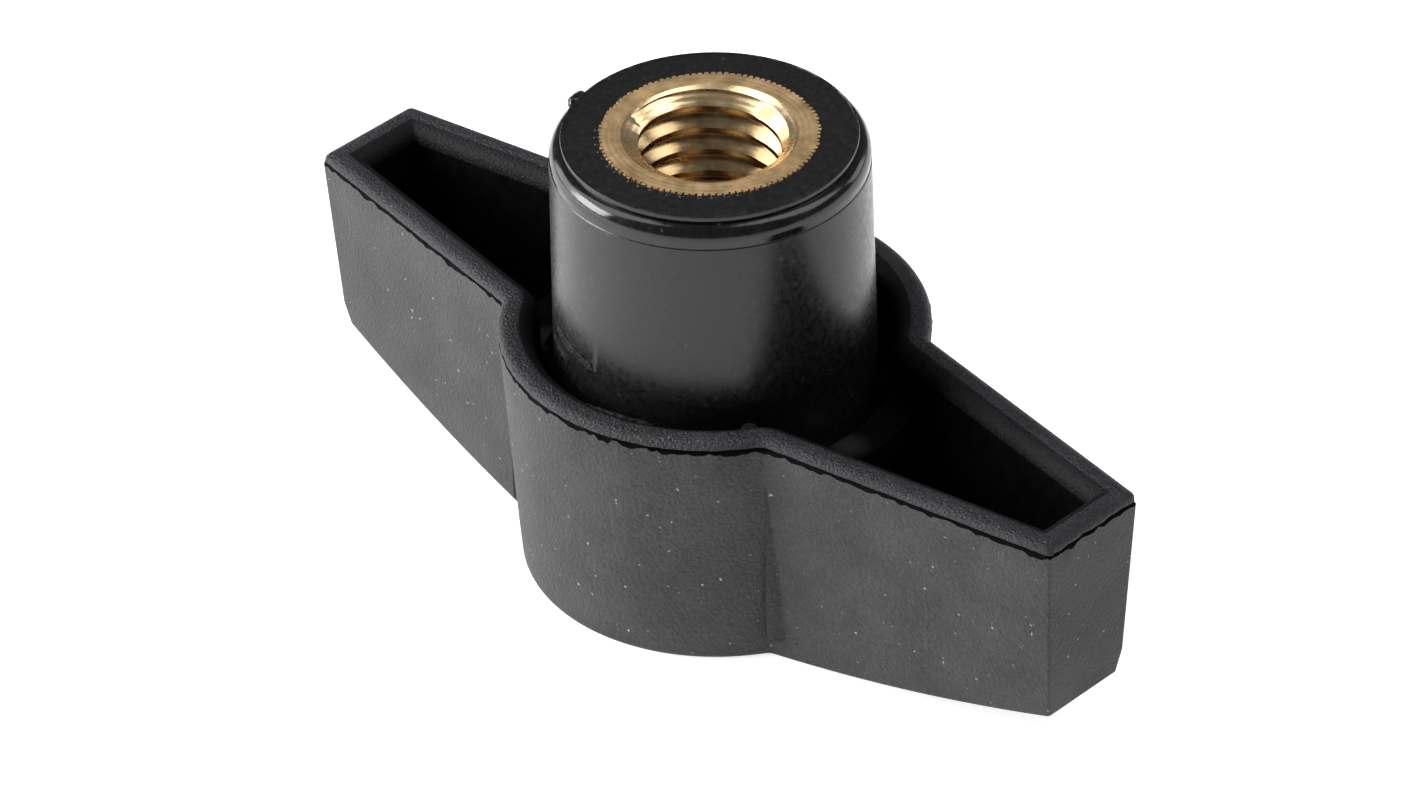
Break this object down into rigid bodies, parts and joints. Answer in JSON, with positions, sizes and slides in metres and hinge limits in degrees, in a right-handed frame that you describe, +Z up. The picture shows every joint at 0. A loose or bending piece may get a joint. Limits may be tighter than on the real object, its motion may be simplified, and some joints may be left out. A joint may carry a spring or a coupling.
{
  "type": "wing nut",
  "caption": "Wing nut with a round hub, hollow tapering wings and a tall boss holding a knurled brass thread insert, for clamping by hand.",
  "frame": {"origin": "on the thread axis, on the flat closed end of the hub", "axes": "+Z up the thread and out of the mouth of the boss, +X along the wings"},
  "size_m": [0.06, 0.0256, 0.0294],
  "materials": {
    "nylon": "spark-textured black glass-filled nylon, smooth on the boss and rim",
    "brass": "turned brass, straight knurl"
  },
  "bodies": {
    "root": {"wing_body": "nylon", "thread_insert": "brass"}
  },
  "joints": []
}
